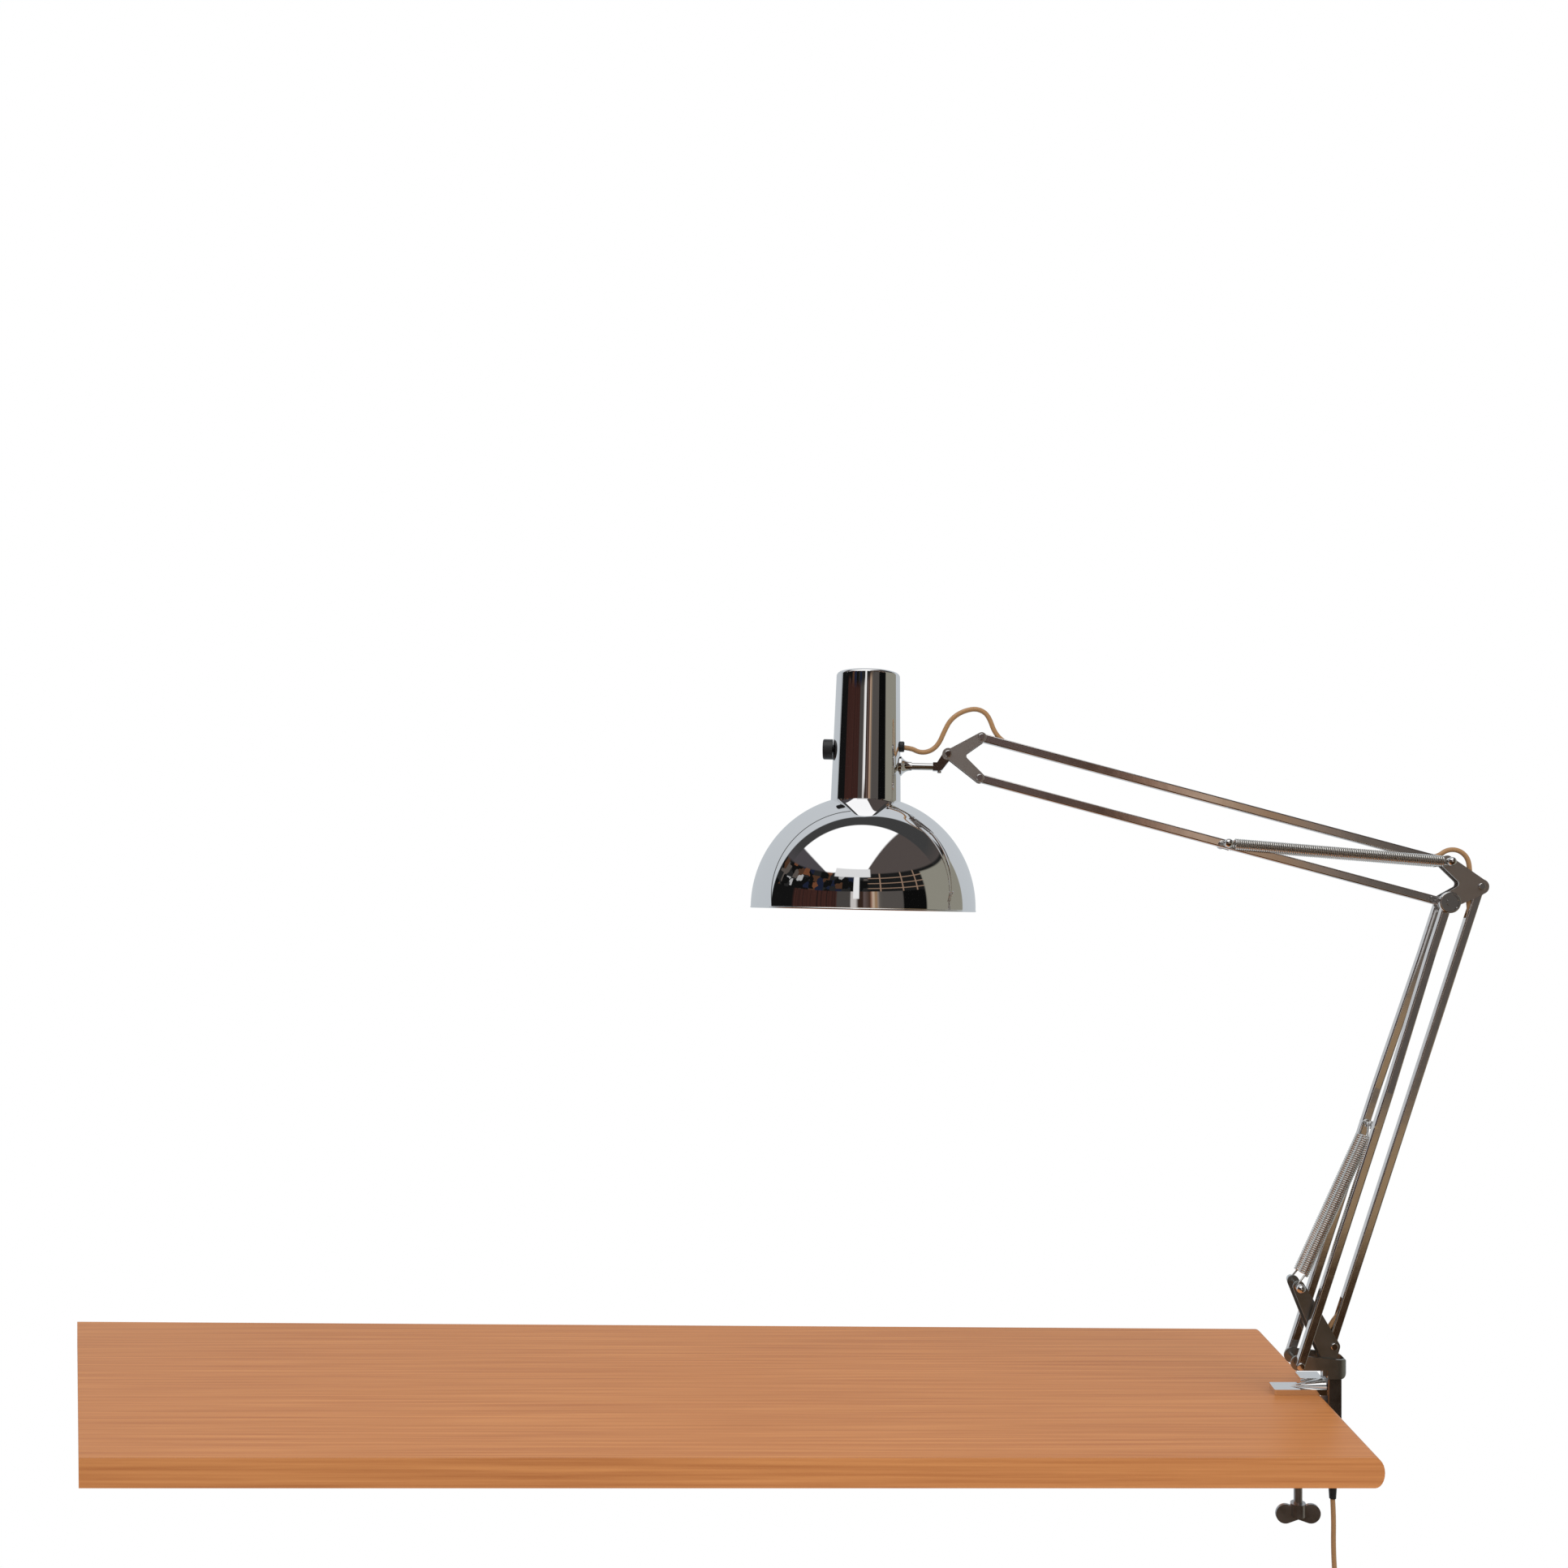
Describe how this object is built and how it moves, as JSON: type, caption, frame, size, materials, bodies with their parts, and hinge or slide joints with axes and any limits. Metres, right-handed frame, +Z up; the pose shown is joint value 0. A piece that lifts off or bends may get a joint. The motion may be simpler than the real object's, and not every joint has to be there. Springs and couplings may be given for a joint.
{
  "type": "desk lamp",
  "caption": "Balanced-arm desk lamp with a table clamp, sprung parallel arms, a swivelling base, a tilting domed shade and a cord that runs along the arms.",
  "frame": {"origin": "centre of the upper jaw's underside, on the table top", "axes": "+X along the arms away from the shade, +Y away from the viewer, +Z up"},
  "size_m": [0.6898, 0.2314, 0.9039],
  "materials": {
    "chrome": "polished",
    "shade_chrome": "polished",
    "clamp_metal": "satin",
    "screw_steel": "satin",
    "spring_steel": "bright",
    "cord": "satin",
    "black_plastic": "gloss",
    "brass": "satin",
    "bulb_glass": "opal"
  },
  "bodies": {
    "clamp": {"clamp_frame": "clamp_metal", "upper_jaw": "chrome", "cord_sleeve": "black_plastic", "cord_in_pin": "cord", "mains_cord": "cord", "cord_coil": "cord", "plug_body": "black_plastic", "plug_pins": "brass", "cord_tie": "black_plastic"},
    "clamp_pad": {"pressure_pad": "screw_steel"},
    "clamp_screw": {"clamp_spindle": "screw_steel", "wing_handle": "screw_steel"},
    "base": {"base_hoop": "chrome", "front_lever_plate": "chrome", "rear_lever_plate": "chrome", "swivel_pin": "chrome", "base_axle": "chrome", "base_link_pin": "chrome", "link_spacers": "chrome", "lever_pin": "chrome", "base_cord": "cord"},
    "lower_arm": {"front_lower_rod": "chrome", "rear_lower_rod": "chrome", "lower_cross_pin": "chrome"},
    "lower_spring_near": {"front_lower_spring": "spring_steel"},
    "lower_spring_far": {"rear_lower_spring": "spring_steel"},
    "lower_link": {"lower_link_rod": "chrome", "lower_cord_run": "cord"},
    "elbow": {"front_elbow_plate": "chrome", "rear_elbow_plate": "chrome", "elbow_axle": "chrome", "elbow_link_pin": "chrome", "elbow_spring_pin": "chrome", "elbow_cord": "cord"},
    "elbow_knob": {"elbow_knob": "chrome"},
    "upper_arm": {"upper_rod": "chrome", "upper_cross_pin": "chrome"},
    "upper_spring_near": {"front_upper_spring": "spring_steel"},
    "upper_spring_far": {"rear_upper_spring": "spring_steel"},
    "upper_link": {"upper_link_rod": "chrome", "upper_cord_run": "cord"},
    "head_bracket": {"front_head_plate": "chrome", "rear_head_plate": "chrome", "head_rivets": "chrome", "head_cord": "cord"},
    "stem": {"tilt_block": "chrome", "stem_rod": "chrome", "stem_nut": "screw_steel", "tilt_screw": "chrome"},
    "head": {"housing_tube": "shade_chrome", "shade": "shade_chrome", "stem_socket": "chrome", "cord_grommet": "black_plastic", "switch_body": "black_plastic", "holder_bridge": "screw_steel", "lampholder": "black_plastic", "shade_ring": "black_plastic", "bulb_cap": "brass", "bulb_glass": "bulb_glass"},
    "switch_knob": {"switch_knob": "black_plastic"}
  },
  "joints": [
    {"name": "base_swivel", "type": "hinge", "parent": "clamp", "child": "base", "pos_m": [0.0325, 0, 0.015], "axis": [0, 0, 1], "range_deg": [-170, 170]},
    {"name": "lower_arm_pivot", "type": "hinge", "parent": "base", "child": "lower_link", "pos_m": [0.0309, 0, 0.04531], "axis": [0, 1, 0], "range_deg": [-10, 28], "deforming": ["base_cord", "front_lower_spring", "rear_lower_spring"]},
    {"name": "lower_rods_pivot", "type": "hinge", "parent": "base", "child": "lower_arm", "pos_m": [-0.003, 0, 0.0305], "axis": [0, 1, 0], "range_deg": [-10, 28]},
    {"name": "elbow_level", "type": "hinge", "parent": "lower_link", "child": "elbow", "pos_m": [0.16996, 0, 0.47329], "axis": [0, 1, 0], "range_deg": [-28, 10]},
    {"name": "upper_arm_pivot", "type": "hinge", "parent": "elbow", "child": "upper_link", "pos_m": [0.13785, 0, 0.49643], "axis": [0, 1, 0], "range_deg": [-40, 40], "deforming": ["elbow_cord", "front_upper_spring", "rear_upper_spring"]},
    {"name": "upper_rod_pivot", "type": "hinge", "parent": "elbow", "child": "upper_arm", "pos_m": [0.13606, 0, 0.45848], "axis": [0, 1, 0], "range_deg": [-40, 40]},
    {"name": "lower_spring_swing", "type": "hinge", "parent": "base", "child": "lower_spring_near", "pos_m": [-0.002, 0, 0.101], "axis": [0, 1, 0], "range_deg": [-13.3, 37.24]},
    {"name": "lower_spring_stretch", "type": "slide", "parent": "lower_spring_near", "child": "lower_spring_far", "axis": [0.4157, 0, 0.9095], "range_m": [-0.00716, 0.02004]},
    {"name": "upper_spring_swing", "type": "hinge", "parent": "elbow", "child": "upper_spring_near", "pos_m": [0.13785, 0, 0.49643], "axis": [0, 1, 0], "range_deg": [-40.4, 40.4]},
    {"name": "upper_spring_stretch", "type": "slide", "parent": "upper_spring_near", "child": "upper_spring_far", "axis": [-0.9967, 0, 0.0816], "range_m": [-0.02443, 0.02443]},
    {"name": "head_level", "type": "hinge", "parent": "upper_link", "child": "head_bracket", "pos_m": [-0.29682, 0, 0.6129], "axis": [0, 1, 0], "range_deg": [-40, 40]},
    {"name": "head_tilt", "type": "hinge", "parent": "head_bracket", "child": "stem", "pos_m": [-0.32811, 0, 0.59724], "axis": [0, 1, 0], "range_deg": [-20, 75], "deforming": ["head_cord"]},
    {"name": "head_turn", "type": "hinge", "parent": "stem", "child": "head", "pos_m": [-0.34835, 0, 0.58586], "axis": [0.9998, 0, -0.0209], "range_deg": [-90, 90]},
    {"name": "switch_turn", "type": "hinge", "parent": "head", "child": "switch_knob", "pos_m": [-0.44003, 0, 0.60209], "axis": [0.9998, 0, -0.0209], "range_deg": [0, 90]},
    {"name": "elbow_knob_turn", "type": "hinge", "parent": "elbow", "child": "elbow_knob", "pos_m": [0.13606, 0, 0.45848], "axis": [0, 1, 0], "range_deg": [-180, 180]},
    {"name": "clamp_travel", "type": "slide", "parent": "clamp", "child": "clamp_pad", "axis": [0, 0, 1], "range_m": [-0.02, 0.02]},
    {"name": "screw_turn", "type": "hinge", "parent": "clamp_pad", "child": "clamp_screw", "pos_m": [0, 0, -0.06], "axis": [0, 0, 1], "range_deg": [-3600, 3600]}
  ],
  "couplings": [
    {"joint": "lower_rods_pivot", "follows": "lower_arm_pivot", "ratio": 1},
    {"joint": "elbow_level", "follows": "lower_arm_pivot", "ratio": -1},
    {"joint": "upper_rod_pivot", "follows": "upper_arm_pivot", "ratio": 1},
    {"joint": "lower_spring_swing", "follows": "lower_arm_pivot", "ratio": 1.33},
    {"joint": "lower_spring_stretch", "follows": "lower_arm_pivot", "m_per_rad": 0.041},
    {"joint": "upper_spring_swing", "follows": "upper_arm_pivot", "ratio": 1.01},
    {"joint": "upper_spring_stretch", "follows": "upper_arm_pivot", "m_per_rad": -0.035},
    {"joint": "head_level", "follows": "upper_arm_pivot", "ratio": -1},
    {"joint": "screw_turn", "follows": "clamp_travel", "rad_per_m": 3141.6}
  ]
}
